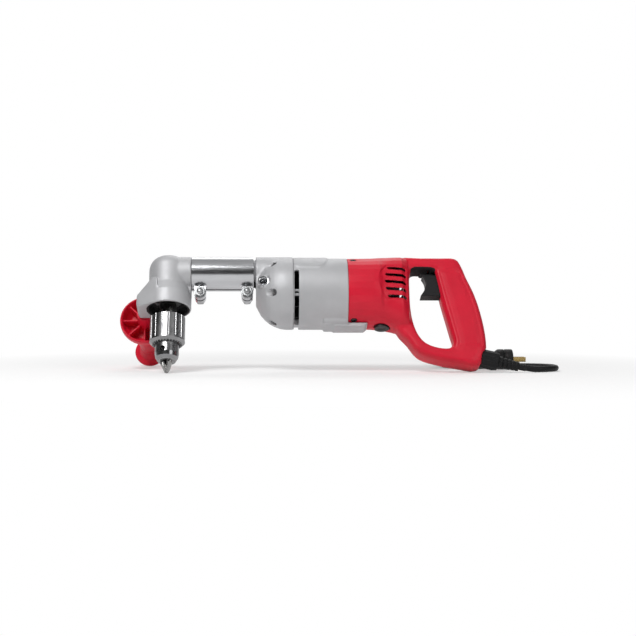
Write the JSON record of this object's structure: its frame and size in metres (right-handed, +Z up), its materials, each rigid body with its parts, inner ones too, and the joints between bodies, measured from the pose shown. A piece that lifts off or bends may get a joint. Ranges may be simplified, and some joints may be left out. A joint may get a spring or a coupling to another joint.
{
  "type": "right angle drill",
  "caption": "Corded right angle drill with a swivelling head, keyed chuck, side handle, split clamp sleeve and a D-handle with a trigger, standing on its jaws and handles.",
  "frame": {"origin": "bottom centre of the box round the tool without its cord, on the ground it stands on", "axes": "+X from the chuck along the drive axis to the D-handle, +Z up from the ground, +Y towards the side handle's end"},
  "size_m": [0.5749, 0.3124, 0.1516],
  "materials": {
    "cast_alloy": "fine cast grain, buffed",
    "polished_steel": "polished",
    "chuck_steel": "machined",
    "jaw_steel": "ground",
    "zinc_fasteners": "zinc plated",
    "dark_screws": "blackened",
    "shaft_steel": "ground",
    "gear_steel": "hobbed",
    "bearing_steel": "shielded",
    "bronze": "sintered",
    "laminations": "stacked sheet",
    "copper": "varnished wire",
    "red_plastic": "satin moulded",
    "black_plastic": "satin moulded",
    "black_rubber": "satin",
    "blade_brass": "bright"
  },
  "bodies": {
    "drill": {"clamp_sleeve": "polished_steel", "clamp_bolts": "zinc_fasteners", "clamp_nuts": "zinc_fasteners", "gear_case": "cast_alloy", "gear_case_screws": "dark_screws", "bearing_plate": "cast_alloy", "spindle_bearing_front": "bearing_steel", "spindle_bearing_rear": "bearing_steel", "idler_bushes": "bronze", "motor_housing": "cast_alloy", "field_stack": "laminations", "field_coils": "copper", "armature_bearing_front": "bearing_steel", "armature_bearing_rear": "bearing_steel", "brush_bracket": "black_plastic", "brush_holders": "bronze", "carbon_brushes": "black_plastic", "brush_caps": "black_plastic", "handle_left": "red_plastic", "handle_right": "red_plastic", "handle_front_screws": "dark_screws", "shell_screws": "dark_screws", "switch_body": "black_plastic", "cord_collar": "black_rubber", "strain_relief": "black_rubber", "cord": "black_rubber", "cord_hank": "black_rubber", "cord_tie": "black_plastic", "plug_body": "black_rubber", "plug_blades": "blade_brass"},
    "head": {"head_casting": "cast_alloy", "head_input_bearing": "bearing_steel", "head_output_bearing": "bearing_steel", "head_top_bush": "bronze", "head_retainer": "shaft_steel", "side_handle_grip": "red_plastic", "side_handle_stud": "shaft_steel"},
    "head_input": {"input_shaft": "shaft_steel", "bevel_pinion": "gear_steel"},
    "chuck": {"output_spindle": "jaw_steel", "bevel_gear": "gear_steel", "chuck_body": "chuck_steel"},
    "sleeve": {"chuck_sleeve": "chuck_steel", "chuck_nut": "jaw_steel"},
    "jaw_a": {"jaw_1": "jaw_steel"},
    "jaw_b": {"jaw_2": "jaw_steel"},
    "jaw_c": {"jaw_3": "jaw_steel"},
    "spindle": {"drive_spindle": "shaft_steel", "spindle_gear": "gear_steel"},
    "idler": {"idler_gear": "gear_steel", "idler_pinion": "shaft_steel"},
    "armature": {"armature_shaft": "shaft_steel", "armature_core": "laminations", "armature_windings": "copper", "commutator": "copper", "cooling_fan": "black_plastic"},
    "trigger": {"trigger": "black_plastic"},
    "reverse_lever": {"reverse_lever": "black_plastic"}
  },
  "joints": [
    {"name": "head_swivel", "type": "hinge", "parent": "drill", "child": "head", "pos_m": [-0.19326, -0.03074, 0.12648], "axis": [1, 0, 0], "continuous": true},
    {"name": "chuck_spin", "type": "hinge", "parent": "head", "child": "chuck", "pos_m": [-0.19326, -0.05658, 0.07233], "axis": [0, 0.4307, 0.9025], "continuous": true},
    {"name": "input_spin", "type": "hinge", "parent": "head", "child": "head_input", "pos_m": [-0.16326, -0.03074, 0.12648], "axis": [1, 0, 0], "continuous": true},
    {"name": "spindle_spin", "type": "hinge", "parent": "drill", "child": "spindle", "pos_m": [-0.09326, -0.03074, 0.12648], "axis": [1, 0, 0], "continuous": true},
    {"name": "idler_spin", "type": "hinge", "parent": "drill", "child": "idler", "pos_m": [-0.04826, -0.02168, 0.10643], "axis": [1, 0, 0], "continuous": true},
    {"name": "armature_spin", "type": "hinge", "parent": "drill", "child": "armature", "pos_m": [0.00674, -0.04323, 0.10031], "axis": [1, 0, 0], "continuous": true},
    {"name": "sleeve_turn", "type": "hinge", "parent": "chuck", "child": "sleeve", "pos_m": [-0.19326, -0.06519, 0.05428], "axis": [0, 0.4307, 0.9025], "range_deg": [0, 6520]},
    {"name": "jaw_1_slide", "type": "slide", "parent": "chuck", "child": "jaw_a", "axis": [0.1161, 0.3078, 0.9443], "range_m": [0, 0.029]},
    {"name": "jaw_2_slide", "type": "slide", "parent": "chuck", "child": "jaw_b", "axis": [0.0536, 0.5731, 0.8177], "range_m": [0, 0.029]},
    {"name": "jaw_3_slide", "type": "slide", "parent": "chuck", "child": "jaw_c", "axis": [-0.1698, 0.3916, 0.9043], "range_m": [0, 0.029]},
    {"name": "trigger_pull", "type": "slide", "parent": "drill", "child": "trigger", "axis": [1, 0, 0], "range_m": [0, 0.006], "stiffness_N_per_m": 1500, "springref_m": -0.003},
    {"name": "reverse_turn", "type": "hinge", "parent": "drill", "child": "reverse_lever", "pos_m": [0.16528, -0.03074, 0.12648], "axis": [0, 0.4307, 0.9025], "range_deg": [-18, 18]}
  ],
  "couplings": [
    {"joint": "input_spin", "follows": "chuck_spin", "ratio": 1.5},
    {"joint": "spindle_spin", "follows": "chuck_spin", "ratio": 1.5},
    {"joint": "idler_spin", "follows": "chuck_spin", "ratio": -5.1667},
    {"joint": "armature_spin", "follows": "chuck_spin", "ratio": 26.981},
    {"joint": "jaw_1_slide", "follows": "sleeve_turn", "m_per_rad": 0.00025465},
    {"joint": "jaw_2_slide", "follows": "sleeve_turn", "m_per_rad": 0.00025465},
    {"joint": "jaw_3_slide", "follows": "sleeve_turn", "m_per_rad": 0.00025465}
  ]
}
